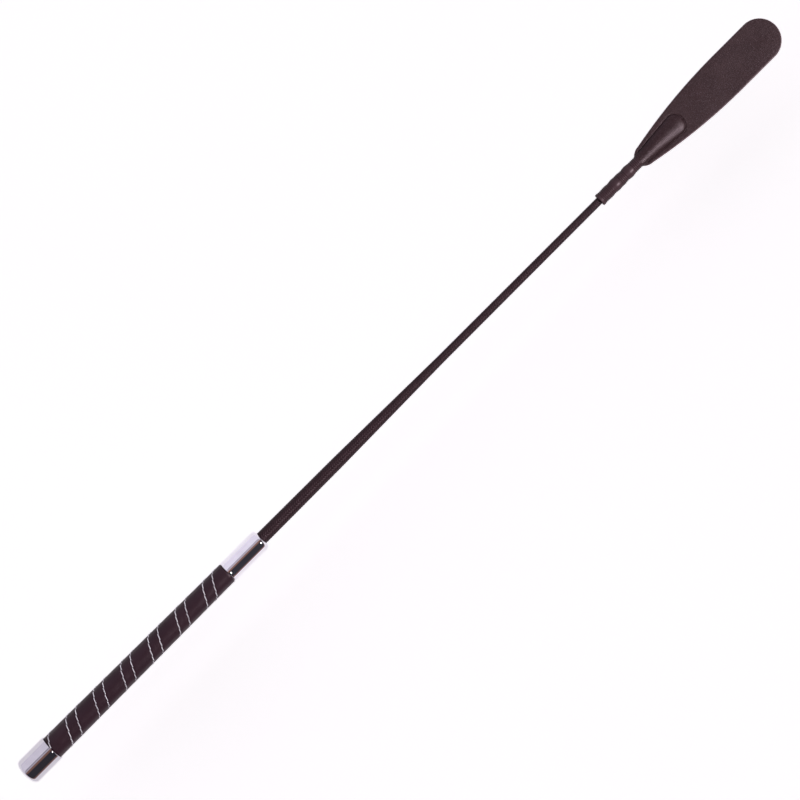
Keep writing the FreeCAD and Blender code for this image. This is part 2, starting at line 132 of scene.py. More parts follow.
def merge_close(piece, distance):
    """Joins vertices that lie on each other, drops what collapses and turns the faces outwards."""
    mesh = bmesh.new()
    mesh.from_mesh(piece.data)
    bmesh.ops.remove_doubles(mesh, verts=mesh.verts, dist=distance)
    bmesh.ops.recalc_face_normals(mesh, faces=mesh.faces)
    mesh.to_mesh(piece.data)
    mesh.free()
    piece.data.update()


def corner(centre_along, centre_radius, rounding, start, end, steps=8):
    """Points of an arc in an outline, between two angles in degrees measured from the +along side."""
    turns = np.radians(np.linspace(start, end, steps))
    return [(centre_along + rounding * math.cos(turn), centre_radius + rounding * math.sin(turn))
            for turn in turns]


def smooth_step(value):
    """0 below 0, 1 above 1, and an even slope between."""
    value = np.clip(value, 0, 1)
    return value * value * (3 - 2 * value)


def smooth_through(knots, along):
    """A curve through knots (position, value) that is level at every knot."""
    positions, values = np.array(knots, float).T
    index = np.clip(np.searchsorted(positions, along) - 1, 0, len(positions) - 2)
    share = (along - positions[index]) / (positions[index + 1] - positions[index])
    return values[index] + (values[index + 1] - values[index]) * smooth_step(share)


# ---------------------------------------------------------------- material helpers
class Material:
    """A node material whose helper methods return output sockets."""

    def __init__(self, name, **settings):
        self.data = bpy.data.materials.new(name)
        self.data.use_nodes = True
        self.nodes = self.data.node_tree.nodes
        self.links = self.data.node_tree.links
        self.shader = next(node for node in self.nodes if node.type == "BSDF_PRINCIPLED")
        self.place = self.nodes.new("ShaderNodeTexCoord").outputs["Object"]
        for socket, value in settings.items():
            self.shader.inputs[socket.replace("_", " ")].default_value = value

    def feed(self, node, inputs):
        """Sets or links a node's inputs, given by name or number."""
        for key, value in inputs.items():
            if isinstance(value, bpy.types.NodeSocket):
                self.links.new(value, node.inputs[key])
            else:
                node.inputs[key].default_value = value
        return node

    def stretched(self, factors):
        """The object's coordinates, scaled differently along each axis."""
        node = self.nodes.new("ShaderNodeMapping")
        return self.feed(node, {"Vector": self.place, "Scale": factors}).outputs["Vector"]

    def noise(self, feature_mm, detail=3.0, vector=None, roughness=0.55):
        """Noise whose blotches are about feature_mm across."""
        node = self.nodes.new("ShaderNodeTexNoise")
        inputs = {"Vector": vector or self.place, "Scale": 1 / (feature_mm * MM), "Detail": detail,
                  "Roughness": roughness}
        return self.feed(node, inputs).outputs["Fac"]

    def cells(self, feature_mm, feature="F1", vector=None):
        """Distance to the nearest cell centre, or to the cell's edge, with cells feature_mm across."""
        node = self.nodes.new("ShaderNodeTexVoronoi")
        node.feature = feature
        inputs = {"Vector": vector or self.place, "Scale": 1 / (feature_mm * MM)}
        return self.feed(node, inputs).outputs["Distance"]

    def ramp(self, value, *stops):
        """Maps a value through colour stops (position, colour or grey)."""
        node = self.nodes.new("ShaderNodeValToRGB")
        elements = node.color_ramp.elements
        while len(elements) < len(stops):
            elements.new(0.5)
        for element, (position, colour) in zip(elements, stops):
            element.position = position
            element.color = (*colour, 1) if isinstance(colour, tuple) else (colour, colour, colour, 1)
        return self.feed(node, {"Fac": value}).outputs["Color"]

    def blend(self, share, first, second, kind="MIX"):
        """Mixes two colours."""
        node = self.nodes.new("ShaderNodeMix")
        node.data_type = "RGBA"
        node.blend_type = kind
        return self.feed(node, {0: share, 6: first, 7: second}).outputs[2]

    def bump(self, height, depth_mm, strength=1.0, under=None):
        """A bump of that depth for a height that runs from 0 to 1, laid over another bump if given."""
        node = self.nodes.new("ShaderNodeBump")
        inputs = {"Height": height, "Distance": depth_mm * MM, "Strength": strength}
        if under is not None:
            inputs["Normal"] = under
        return self.feed(node, inputs).outputs["Normal"]

    def finish(self, **inputs):
        """Links the shader's inputs and returns the material."""
        self.feed(self.shader, {key.replace("_", " "): value for key, value in inputs.items()})
        return self.data


# Tint of the leather's, braid's and moulding's gloss.
ROSY = (1.0, 0.78, 0.87, 1.0)


HAZY_CHROME = (0.90, 0.875, 0.95)
CLEAR_CHROME = (1.0, 0.965, 1.05)


def chrome_plate(name, brightness):
    """Polished plate with hairline wipe marks and a faint haze; a lower brightness darkens the plate's
    colour, which on the butt cap is painted shade.
    """
    made = Material(name, Metallic=1.0)
    wipes = made.noise(0.9, detail=6, vector=made.stretched((0.06, 1, 1)))
    haze = made.noise(9.0, detail=2)
    hazy, clear = [tuple(brightness * part for part in tone) for tone in (HAZY_CHROME, CLEAR_CHROME)]
    colour = made.ramp(haze, (0.3, hazy), (0.7, clear))
    roughness = made.ramp(wipes, (0.35, 0.035), (0.75, 0.11))
    normal = made.bump(wipes, 0.004, 0.25)
    return made.finish(Base_Color=colour, Roughness=roughness, Normal=normal)


def grip_leather():
    """Smooth, close-grained dark leather with handling shine and a few creases across the strip."""
    made = Material("wound_leather", Specular_IOR_Level=0.22, Specular_Tint=ROSY)
    pores = made.cells(0.55)
    pebbles = made.cells(0.8, "DISTANCE_TO_EDGE")
    creases = made.noise(5.0, detail=5, vector=made.stretched((0.5, 1, 1)))
    wear = made.noise(16.0, detail=3)
    tone = made.ramp(wear, (0.3, (0.0115, 0.0045, 0.0075)), (0.7, (0.0175, 0.0075, 0.0115)))
    dark_pores = made.ramp(pores, (0.0, 0.55), (0.35, 1.0))
    colour = made.blend(0.8, tone, dark_pores, "MULTIPLY")
    roughness = made.ramp(wear, (0.3, 0.45), (0.7, 0.36))
    soft = made.bump(creases, 0.16, 0.5)
    fine = made.bump(made.ramp(pebbles, (0.0, 0.0), (0.25, 1.0)), 0.05, 0.7, under=soft)
    return made.finish(Base_Color=colour, Roughness=roughness, Normal=fine)


def flapper_leather():
    """Fine pebbled leather, with pale specks painted into its colour as small highlights."""
    made = Material("pebbled_leather", Specular_IOR_Level=0.19, Specular_Tint=ROSY)
    pebbles = made.cells(0.85, "DISTANCE_TO_EDGE")
    specks = made.noise(0.62, detail=5, roughness=0.75)
    blotches = made.noise(11.0, detail=3)
    tone = made.ramp(blotches, (0.3, (0.0118, 0.0048, 0.0053)), (0.7, (0.0165, 0.0071, 0.0078)))
    # Pale lilac specks blended into the colour are painted highlights.
    painted_glints = made.blend(made.ramp(specks, (0.52, 0.0), (0.69, 0.44)), tone, (0.11, 0.080, 0.095, 1))
    grooves = made.ramp(pebbles, (0.0, 0.45), (0.16, 1.0))
    colour = made.blend(0.85, painted_glints, grooves, "MULTIPLY")
    roughness = made.ramp(specks, (0.35, 0.42), (0.7, 0.30))
    coarse = made.bump(made.ramp(pebbles, (0.0, 0.0), (0.3, 1.0)), 0.05, 0.6)
    fine = made.bump(specks, 0.14, 0.8, under=coarse)
    return made.finish(Base_Color=colour, Roughness=roughness, Normal=fine)


def cut_leather_edge():
    """The cut edge of a leather layer: fibrous, paler and redder than its face."""
    made = Material("cut_leather_edge", Specular_IOR_Level=0.3)
    fibres = made.noise(0.35, detail=5, vector=made.stretched((0.35, 1, 1.6)))
    colour = made.ramp(fibres, (0.3, (0.055, 0.030, 0.032)), (0.7, (0.12, 0.076, 0.088)))
    roughness = made.ramp(fibres, (0.3, 0.75), (0.7, 0.6))
    return made.finish(Base_Color=colour, Roughness=roughness, Normal=made.bump(fibres, 0.06, 0.6))


def moulded_brown():
    """Glossy moulded plastic with flow marks and fine dust."""
    made = Material("moulded_brown", Specular_IOR_Level=0.19, Specular_Tint=ROSY)
    flow = made.noise(3.5, detail=3, vector=made.stretched((0.4, 1, 1)))
    dust = made.noise(0.3, detail=4)
    colour = made.ramp(flow, (0.3, (0.0215, 0.0112, 0.0132)), (0.7, (0.0285, 0.0152, 0.0182)))
    roughness = made.ramp(dust, (0.4, 0.40), (0.75, 0.52))
    return made.finish(Base_Color=colour, Roughness=roughness, Normal=made.bump(flow, 0.05, 0.35))


def braid_yarn():
    """Polyester yarn: fine filaments, dark between them, with a pinkish sheen on the floats."""
    made = Material("braid_yarn", Specular_IOR_Level=0.18, Specular_Tint=ROSY)
    filaments = made.noise(0.16, detail=3, vector=made.stretched((0.5, 1, 1)))
    lots = made.noise(2.4, detail=2)
    tone = made.ramp(lots, (0.3, (0.0135, 0.0055, 0.0075)), (0.7, (0.0240, 0.0110, 0.0140)))
    lines = made.ramp(filaments, (0.35, 0.45), (0.65, 1.0))
    colour = made.blend(0.8, tone, lines, "MULTIPLY")
    roughness = made.ramp(filaments, (0.35, 0.50), (0.7, 0.36))
    return made.finish(Base_Color=colour, Roughness=roughness, Normal=made.bump(filaments, 0.03, 0.7))


def white_thread():
    """Bonded white thread, slightly greyed in the twist."""
    made = Material("white_thread", Specular_IOR_Level=0.35, Sheen_Weight=0.2)
    fibres = made.noise(0.09, detail=3)
    handled = made.noise(12.0, detail=2)
    tone = made.ramp(handled, (0.3, (0.44, 0.41, 0.46)), (0.7, (0.57, 0.54, 0.59)))
    colour = made.blend(0.6, tone, made.ramp(fibres, (0.3, 0.7), (0.6, 1.0)), "MULTIPLY")
    roughness = made.ramp(fibres, (0.3, 0.7), (0.7, 0.55))
    return made.finish(Base_Color=colour, Roughness=roughness, Normal=made.bump(fibres, 0.03, 0.5))


def glass_fibre():
    """Ground resin rod with its fibres running along it."""
    made = Material("ground_fibre_rod")
    strands = made.noise(0.3, detail=4, vector=made.stretched((0.02, 1, 1)))
    colour = made.ramp(strands, (0.3, (0.46, 0.42, 0.30)), (0.7, (0.62, 0.58, 0.45)))
    roughness = made.ramp(strands, (0.3, 0.5), (0.7, 0.35))
    return made.finish(Base_Color=colour, Roughness=roughness, Normal=made.bump(strands, 0.02, 0.5))


def core_moulding():
    """Dark moulded core with a faint stipple."""
    made = Material("stippled_core")
    stipple = made.noise(0.4, detail=3)
    colour = made.ramp(stipple, (0.3, (0.02, 0.02, 0.02)), (0.7, (0.035, 0.034, 0.033)))
    roughness = made.ramp(stipple, (0.3, 0.7), (0.7, 0.55))
    return made.finish(Base_Color=colour, Roughness=roughness, Normal=made.bump(stipple, 0.03, 0.5))


def dress(piece, slot, *materials):
    """Gives a piece its materials; the slot argument is not used."""
    if piece.data.materials:
        piece.data.materials.clear()
    for material in materials:
        piece.data.materials.append(material)


# ---------------------------------------------------------------- chromed fittings
CAP_WALL = 0.8
CAP_DOME = 1.2
CAP_EDGE_RADIUS = 3.0
CAP_FLOOR = 2.2
CAP_FLOOR_CORNER = 1.0
CAP_SIDE_START = 6.0
RIM_RADIUS = 0.38


def make_butt_cap(material):
    """Drawn cup: shallow dome, rounded edge, straight side, rolled rim and an open inside."""
    radius = CAP_RADIUS
    edge_centre = radius - CAP_EDGE_RADIUS
    dome = [(CAP_DOME * share ** 2, edge_centre * share) for share in np.linspace(0, 1, 14)]
    outline = [
        *dome,
        *corner(CAP_DOME + CAP_EDGE_RADIUS, edge_centre, CAP_EDGE_RADIUS, 176, 90, 16),
        *[(along, radius) for along in np.linspace(CAP_SIDE_START, CAP_LENGTH - 2 * RIM_RADIUS, 6)],
        *corner(CAP_LENGTH - RIM_RADIUS, radius - RIM_RADIUS, RIM_RADIUS, 90, -90, 12),
        (CAP_FLOOR + CAP_FLOOR_CORNER, radius - CAP_WALL),
        *corner(CAP_FLOOR + CAP_FLOOR_CORNER, radius - CAP_WALL - CAP_FLOOR_CORNER, CAP_FLOOR_CORNER,
                90, 180, 6),
        (CAP_FLOOR, 0),
    ]
    outline = [(CAP_START + along, distance) for along, distance in outline]
    piece = lathe("chrome_butt_cap", outline)
    dress(piece, "chrome", material)
    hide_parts("butt_cap")
    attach(piece, "crop")


COLLAR_RADIUS = 7.0
COLLAR_LIP_RADIUS = 7.15
COLLAR_LIP_LENGTH = 1.3
COLLAR_WALL = 0.6
COLLAR_SHOULDER = 2.7
COLLAR_FACE = 0.9
COLLAR_LIP_ROUNDING = 0.3
SHAFT_HOLE_RADIUS = 4.08


def make_front_collar(material):
    """Drawn ferrule: beaded rim, straight wall and a rounded shoulder that closes round the shaft."""
    lip_rounding = COLLAR_LIP_ROUNDING
    bead_end = COLLAR_LIP_LENGTH
    shoulder_start = COLLAR_LENGTH - COLLAR_SHOULDER
    inner = COLLAR_RADIUS - COLLAR_WALL
    outline = [
        (0.02, inner),
        *corner(lip_rounding, COLLAR_LIP_RADIUS - lip_rounding, lip_rounding, 180, 90, 6),
        *corner(bead_end - lip_rounding, COLLAR_LIP_RADIUS - lip_rounding, lip_rounding, 90, 40, 4),
        (bead_end + 0.25, COLLAR_RADIUS + 0.01),
        *[(along, COLLAR_RADIUS) for along in np.linspace(bead_end + 0.8, shoulder_start - 0.5, 8)],
        *corner(shoulder_start, COLLAR_RADIUS - COLLAR_SHOULDER, COLLAR_SHOULDER, 90, 8, 18),
        (COLLAR_LENGTH - 0.05, SHAFT_HOLE_RADIUS + 0.08),
        (COLLAR_LENGTH - 0.2, SHAFT_HOLE_RADIUS),
        (COLLAR_LENGTH - COLLAR_FACE, SHAFT_HOLE_RADIUS),
        (COLLAR_LENGTH - COLLAR_FACE, inner),
    ]
    outline = [(COLLAR_START + along, distance) for along, distance in outline]
    piece = lathe("chrome_collar", outline)
    dress(piece, "chrome", material)
    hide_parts("front_collar")
    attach(piece, "crop")


# ---------------------------------------------------------------- wrapped and stitched grip
GRIP_RADIUS_BUTT = 7.87
GRIP_RADIUS_FORE = 6.86
GRIP_TAPER = (GRIP_RADIUS_FORE - GRIP_RADIUS_BUTT) / GRIP_LENGTH
GRIP_THICKNESS = 1.27
LEATHER_TUCK = 6.0
WRAP_PITCH = 23.46
SEAM_POSITION = 25.1
ROW_OFFSET = 4.1
STITCHES_PER_TURN = 12
THREAD_RADIUS = 0.33
GRIP_ROWS = 621
GRIP_LINING_STEP = 5            # the unseen inside has one row to five of the outside's
GRIP_COLUMNS = 65
FINE_COLUMNS = 13               # more columns over each seam and stitch row,
FINE_REACH = 1.2                # this far to each side of it
GRIP_END_GAP = 0.06
STRIP_SLANT = 0.89              # cosine of the strip's slant, which turns axial offsets into ones across it
SEAM_DEPTH = 0.05
SEAM_SPREAD = 0.2
CHANNEL_DEPTH = 0.07
CHANNEL_SPREAD = 0.8
HOLE_DEPTH = 0.18
HOLE_SPREAD = 0.36
CROWN_HEIGHT = 0.03
UNEVENNESS = 0.035
AFT_EDGE_FALL = 0.45
AFT_EDGE_ROUNDING = 0.45
FORE_EDGE_FALL = 0.5
FORE_EDGE_ROUNDING = 0.6


def grip_radius(along):
    """The tapered grip's outside radius, without its relief, from the cap's rim."""
    return GRIP_RADIUS_BUTT + GRIP_TAPER * along


def helix_angle(along):
    """How far the left-handed wrap has turned at a distance from the cap's rim, along its seam."""
    return -TAU * (along - SEAM_POSITION) / WRAP_PITCH


def strip_relief(offset, along_row):
    """Height of the leather strip's surface at an axial offset from its seam, and along its rows."""
    across = np.abs(offset) * STRIP_SLANT
    from_row = across - ROW_OFFSET * STRIP_SLANT
    near_hole = (0.5 + 0.5 * np.cos(TAU * along_row)) ** 6
    seam = -SEAM_DEPTH * np.exp(-(across / SEAM_SPREAD) ** 2)
    channel = -CHANNEL_DEPTH * np.exp(-(from_row / CHANNEL_SPREAD) ** 2)
    holes = -HOLE_DEPTH * np.exp(-(from_row / HOLE_SPREAD) ** 2) * near_hole
    crown = CROWN_HEIGHT * np.cos(np.pi * across / (WRAP_PITCH * STRIP_SLANT / 2))
    return seam + channel + holes - crown


def make_grip_leather(material):
    """The wound strip: seam, sunken stitch rows and holes lie along the grid's own helical lines."""
    fine = np.linspace(-FINE_REACH, FINE_REACH, FINE_COLUMNS)
    offsets = np.unique(np.concatenate([
        np.linspace(-WRAP_PITCH / 2, WRAP_PITCH / 2, GRIP_COLUMNS),
        *[centre + fine for centre in (-ROW_OFFSET, 0, ROW_OFFSET)],
    ]))[:-1]
    along = np.linspace(-LEATHER_TUCK, GRIP_LENGTH - GRIP_END_GAP, GRIP_ROWS)
    angle = helix_angle(along)[:, None] + TAU * offsets[None, :] / WRAP_PITCH
    turns = angle / TAU * STITCHES_PER_TURN
    relief = strip_relief(offsets[None, :], turns)
    aft_edge = np.exp(-(along / AFT_EDGE_ROUNDING) ** 2) * AFT_EDGE_FALL
    fore_edge = np.exp(-((GRIP_LENGTH - along) / FORE_EDGE_ROUNDING) ** 2) * FORE_EDGE_FALL
    ends = aft_edge + fore_edge
    waves = UNEVENNESS * np.sin(angle * 3 + along[:, None] * 0.21) * np.sin(along[:, None] * 0.47)
    outside = grip_radius(along)[:, None] + relief + waves - ends[:, None]
    points = around(along[:, None] + GRIP_START, outside, angle)
    rows, columns = outside.shape
    back = np.arange(rows - 1, -1, -GRIP_LINING_STEP)
    lining_radius = grip_radius(along[back])[:, None] - GRIP_THICKNESS
    lining = around(along[back, None] + GRIP_START, lining_radius, angle[back])
    faces = grid_faces(rows + len(back), columns, wrap_rows=True, wrap_columns=True)
    piece = add_mesh("wrapped_grip", np.concatenate([points, lining]), faces)
    merge_close(piece, 0)
    dress(piece, "grip_leather", material)
    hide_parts("grip_leather")
    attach(piece, "crop")


STITCH_JOG = 0.55
STITCH_RINGS = 17
STRAND_SIDES = 7
STRAND_TWISTS = 1.35            # turns of the two strands about each other in one stitch
STRAND_SHIFT = 0.42             # of the thread's thickness, from its middle to each strand's
STRAND_RADIUS = 0.60            # of the thread's thickness
STITCH_SINK = 0.05
STITCH_FLATNESS = 9             # a high power keeps a stitch level between its two holes
HOLE_SINK = 0.8                 # of the thread's radius, down into each hole
STITCH_RISE = 1.2               # of the thread's radius, from the hole to the stitch's top
HOLE_THICKNESS = 0.55           # of the thread's radius, where the hole pinches it
TOP_SWELL = 0.25                # of the thread's radius, added between the holes
SHORTEST_STITCH = 0.08          # of a whole stitch; a shorter rest at a rim is left out
THREAD_END_GAPS = (0.05, 0.35)


def make_stitch(start_turn, row_phase):
    """Points of one stitch: two twisted strands that leave one hole and sink into the next.

    A stitch that reaches the cap or the collar stops at its rim.
    """
    reach = [(row_phase - limit) / WRAP_PITCH - start_turn
             for limit in (GRIP_LENGTH - THREAD_END_GAPS[1], THREAD_END_GAPS[0])]
    limits = np.clip(np.array(reach) * STITCHES_PER_TURN, 0, 1)
    if limits[1] - limits[0] < SHORTEST_STITCH:
        return []
    share = np.linspace(*limits, STITCH_RINGS)
    turn = start_turn + share / STITCHES_PER_TURN
    row_along = row_phase - WRAP_PITCH * turn
    lean = STITCH_JOG * (share - 0.5)
    arch = 1 - np.abs(2 * share - 1) ** STITCH_FLATNESS
    lift = THREAD_RADIUS * (-HOLE_SINK + STITCH_RISE * arch)
    thickness = THREAD_RADIUS * (HOLE_THICKNESS + TOP_SWELL * arch)
    along = row_along + lean
    centre_radius = grip_radius(along) + lift - STITCH_SINK
    centre = around(along + GRIP_START, centre_radius, turn * TAU)
    forward = np.gradient(centre, axis=0)
    forward /= np.linalg.norm(forward, axis=1, keepdims=True)
    outward = around(0 * along, 1.0, turn * TAU)
    outward -= forward * np.sum(outward * forward, axis=1, keepdims=True)
    outward /= np.linalg.norm(outward, axis=1, keepdims=True)
    side = np.cross(forward, outward)
    strands = []
    for strand in (0, 1):
        twist = TAU * (STRAND_TWISTS * share + strand / 2)
        shift = STRAND_SHIFT * thickness
        sideways = np.cos(twist)[:, None] * outward + np.sin(twist)[:, None] * side
        middle = centre + shift[:, None] * sideways
        around_strand = np.linspace(0, TAU, STRAND_SIDES, endpoint=False)
        ring = (np.cos(around_strand)[None, :, None] * outward[:, None, :]
                + np.sin(around_strand)[None, :, None] * side[:, None, :])
        strands.append(middle[:, None, :] + STRAND_RADIUS * thickness[:, None, None] * ring)
    return strands


def make_stitch_row(name, node, offset, material):
    """One row of stitches from the cap's rim to the collar, along its helix."""
    row_phase = SEAM_POSITION + offset
    first = math.floor((row_phase - GRIP_LENGTH) / WRAP_PITCH * STITCHES_PER_TURN)
    last = math.ceil(row_phase / WRAP_PITCH * STITCHES_PER_TURN)
    points = []
    faces = []
    for count in range(first, last):
        for strand in make_stitch(count / STITCHES_PER_TURN, row_phase):
            start = sum(len(block) for block in points)
            points.append(strand.reshape(-1, 3))
            faces.extend(grid_faces(STITCH_RINGS, STRAND_SIDES, wrap_columns=True, first=start))
            end = start + (STITCH_RINGS - 1) * STRAND_SIDES
            faces.append(range(start, start + STRAND_SIDES))
            faces.append(range(end + STRAND_SIDES - 1, end - 1, -1))
    piece = add_mesh(name, np.concatenate(points), faces)
    merge_close(piece, 0)
    dress(piece, "thread", material)
    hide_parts(node)
    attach(piece, "crop")


# ---------------------------------------------------------------- braided shaft
SHAFT_RADIUS_HANDLE = 4.03
SHAFT_RADIUS_UPPER = 3.82
SHAFT_RADIUS_LOWER = 2.5
SHAFT_RADIUS_TIP = 2.33
UPPER_TAPER = 66.0
LOWER_TAPER = 138.0
BRAID_TUCK = 1.2
YARNS = 12
PICK_HANDLE = 1.58
PICK_TIP = 1.40
YARN_THICKNESS = 0.42
YARN_WAVE = 0.13
YARN_CREST = 0.16
YARN_STEP = 0.30
YARN_SIDES = 8
YARN_HALF_WIDTH = 0.47          # of the spacing between two yarns that wind the same way
FLOAT_FLATNESS = 1.35           # above 1, a yarn stays level along most of each float
FLOAT_PHASE = 1.5               # shift of the floats along a yarn, in crossings; they repeat after four
GROUND_THICKNESS = 0.2


def shaft_radius(along):
    """Outside radius of the braid, from the collar's front: slow taper, quicker taper, slow taper."""
    stations = [-BRAID_TUCK, UPPER_TAPER, SHAFT_LENGTH - LOWER_TAPER, SHAFT_LENGTH + BRAID_TUCK]
    radii = [SHAFT_RADIUS_HANDLE, SHAFT_RADIUS_UPPER, SHAFT_RADIUS_LOWER, SHAFT_RADIUS_TIP]
    return np.interp(along, stations, radii)


def yarn_set(name, direction, material):
    """The twelve yarns that wind one way, each passing over two and under two of the other set."""
    along = np.arange(-BRAID_TUCK, SHAFT_LENGTH + BRAID_TUCK, YARN_STEP)
    pick = np.interp(along, [0, SHAFT_LENGTH], [PICK_HANDLE, PICK_TIP])
    picks = np.cumsum(YARN_STEP / pick)
    radius = shaft_radius(along)
    angle_along = picks * TAU / YARNS
    spacing = pick * np.sin(np.arctan2(TAU * radius / YARNS, pick))
    half_width = YARN_HALF_WIDTH * spacing
    points = []
    faces = []
    sides = np.linspace(0, TAU, YARN_SIDES, endpoint=False)
    for yarn in range(YARNS):
        crossing = 2 * yarn + direction * 2 * picks
        wave = np.clip(FLOAT_FLATNESS * np.cos(TAU * (crossing + FLOAT_PHASE) / 4), -1, 1) * direction
        middle = radius + YARN_CREST - YARN_THICKNESS / 2 - YARN_WAVE + YARN_WAVE * wave
        turn = TAU * yarn / YARNS + direction * angle_along
        centre = around(along, middle, turn)
        forward = np.gradient(centre, axis=0)
        forward /= np.linalg.norm(forward, axis=1, keepdims=True)
        outward = around(0 * along, 1.0, turn)
        side = np.cross(forward, outward)
        side /= np.linalg.norm(side, axis=1, keepdims=True)
        ring = (np.cos(sides)[None, :, None] * side[:, None, :] * half_width[:, None, None]
                + np.sin(sides)[None, :, None] * outward[:, None, :] * (YARN_THICKNESS / 2))
        sag = -(np.cos(sides)[None, :] * half_width[:, None]) ** 2 / (2 * radius[:, None])
        block = centre[:, None, :] + ring + outward[:, None, :] * sag[:, :, None]
        start = len(points) * block.shape[0] * YARN_SIDES
        end = start + (len(along) - 1) * YARN_SIDES
        points.append(block.reshape(-1, 3))
        faces.extend(grid_faces(len(along), YARN_SIDES, wrap_columns=True, first=start))
        faces.extend([range(start, start + YARN_SIDES), range(end, end + YARN_SIDES)])
    points = np.concatenate(points)
    points[:, 0] += SHAFT_START
    piece = add_mesh(name, points, faces)
    merge_close(piece, 0)
    dress(piece, "braid", material)
    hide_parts("braid_sleeve")
    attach(piece, "crop")


def make_braid_ground(material):
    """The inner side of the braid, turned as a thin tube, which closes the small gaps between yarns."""
    along = np.linspace(-BRAID_TUCK, SHAFT_LENGTH + BRAID_TUCK, 60)
    outside = shaft_radius(along) - YARN_THICKNESS
    outline = [*zip(along, outside), *zip(along[::-1], outside[::-1] - GROUND_THICKNESS)]
    outline = [(SHAFT_START + station, radius) for station, radius in outline]
    piece = lathe("braid_ground", outline, segments=64)
    dress(piece, "braid", material)
    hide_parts("braid_sleeve")
    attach(piece, "crop")


# ---------------------------------------------------------------- ridged tip ferrule
FERRULE_SHAPE = [
    (0.0, 4.02), (0.5, 4.19), (1.7, 4.19), (3.3, 4.02), (7.2, 4.24), (11.0, 3.98), (13.8, 4.24),
    (16.0, 4.07), (18.2, 4.24), (21.6, 3.93), (25.3, 4.21), (27.5, 3.92), (33.4, 3.92), (34.0, 4.10),
    (34.2, 4.10),
]
RIDGE_BANDS = [(2.1, 10.9), (17.3, 22.1), (28.3, 33.6)]
RIDGE_PITCH = 1.12
RIDGE_DEPTH = 0.36
NECK_GROOVE = 27.9
NECK_GROOVE_DEPTH = 0.16
FERRULE_BORE = 2.36
FERRULE_SOCKET = 9.0


def ridge_relief(along):
    """Depth of the ring grooves that leave rounded ridges between them."""
    relief = np.zeros_like(along)
    for start, end in RIDGE_BANDS:
        turn = (along - start) / RIDGE_PITCH
        groove = (1 - np.abs(np.sin(np.pi * turn))) ** 1.1
        inside = smooth_step((along - start + 0.3) / 0.3) * smooth_step((end - along + 0.3) / 0.3)
        relief -= RIDGE_DEPTH * groove * inside
    return relief - NECK_GROOVE_DEPTH * np.exp(-((along - NECK_GROOVE) / 0.22) ** 2)


def make_tip_ferrule(material):
    """The moulding between shaft and flapper, with its three bands of ring ridges."""
    along = np.arange(0.0, FERRULE_LENGTH, 0.07)
    radius = smooth_through(FERRULE_SHAPE, along) + ridge_relief(along)
    mouth = [(0.25, FERRULE_BORE), (0.0, FERRULE_BORE + 0.15), (-0.05, 3.2), (-0.02, 3.85)]
    end = [(FERRULE_LENGTH, 4.05), (FERRULE_LENGTH, 0.0)]
    socket = [(FERRULE_SOCKET, 0.0), (FERRULE_SOCKET, FERRULE_BORE)]
    outline = [*mouth, *zip(along, radius), *end, *socket]
    outline = [(FERRULE_START + station, distance) for station, distance in outline]
    piece = lathe("ridged_ferrule", outline, segments=128)
    dress(piece, "ferrule_moulding", material)
    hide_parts("tip_ferrule")
    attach(piece, "crop")


# ---------------------------------------------------------------- leather flapper
LAYER = 1.25
FLAPPER_HALF_WIDTH = 13.65
FLARE_LENGTH = 77.3
SIDE_RADIUS = 369.0
SHOULDER_LENGTH = 5.6
BOSS_LENGTH = 37.5
BOSS_END = 6.5
BOSS_ROOT = 4.15
BOSS_HALF_WIDTH = 7.05
BOSS_HEIGHT = 3.15
EDGE_ROUNDING = 0.45
FRONT_INSET = 0.38
CREASE_SHIFT = 0.1
EDGE_STEPS = (0.0, 0.05, 0.15, 0.35, 0.65, 1.0)
SHOULDER_POINTS = 11
END_POINTS = 73
CREASED_LENGTH = 42.0           # to past the boss, where the grid is fine
CREASED_STEP = 0.2
PLAIN_STEP = 0.75
INSET_RUN = 12.0                # from the root, over which the inset grows to its full width
ROOT_LENGTH = 3.0               # over which the edge's rounding starts
FACE_COLUMNS = 92
CREASE_DEPTH = 0.45
CREASE_INSIDE = 0.55
CREASE_OUTSIDE = 0.22
DRIFT_HEIGHT = 0.07
LAYER_GAP = 0.03
CUT_EDGE_COLUMNS = 3


def side_half_width(along):
    """Half width of the flapper between its ferrule and its rounded end."""
    flare = FLAPPER_HALF_WIDTH - np.clip(FLARE_LENGTH - along, 0, None) ** 2 / (2 * SIDE_RADIUS)
    shoulder_end = FLAPPER_HALF_WIDTH - (FLARE_LENGTH - SHOULDER_LENGTH) ** 2 / (2 * SIDE_RADIUS)
    share = np.clip(along / SHOULDER_LENGTH, 0, 1)
    shoulder = BOSS_ROOT + (shoulder_end - BOSS_ROOT) * np.sin(share * np.pi / 2) ** 0.8
    return np.where(along < SHOULDER_LENGTH, shoulder, flare)


def flapper_outline(inset):
    """Edge points and, for each, the point of the middle line it is joined to, from root to root."""
    end_centre = FLAPPER_LENGTH - FLAPPER_HALF_WIDTH
    along = np.concatenate([
        np.linspace(0, 1, SHOULDER_POINTS + 1)[:-1] ** 2 * SHOULDER_LENGTH * 0.5,
        np.arange(SHOULDER_LENGTH * 0.5, CREASED_LENGTH, CREASED_STEP),
        np.arange(CREASED_LENGTH, end_centre - 0.3, PLAIN_STEP),
    ])
    side = np.stack([along, -side_half_width(along) + inset * smooth_step(along / INSET_RUN)], axis=1)
    turns = np.radians(np.linspace(-90, 90, END_POINTS))
    radius = FLAPPER_HALF_WIDTH - inset
    end = np.stack([end_centre + radius * np.cos(turns), radius * np.sin(turns)], axis=1)
    edge = np.concatenate([side, end, side[::-1] * (1, -1)])
    middle = np.stack([np.minimum(edge[:, 0], end_centre), np.zeros(len(edge))], axis=1)
    return edge, middle


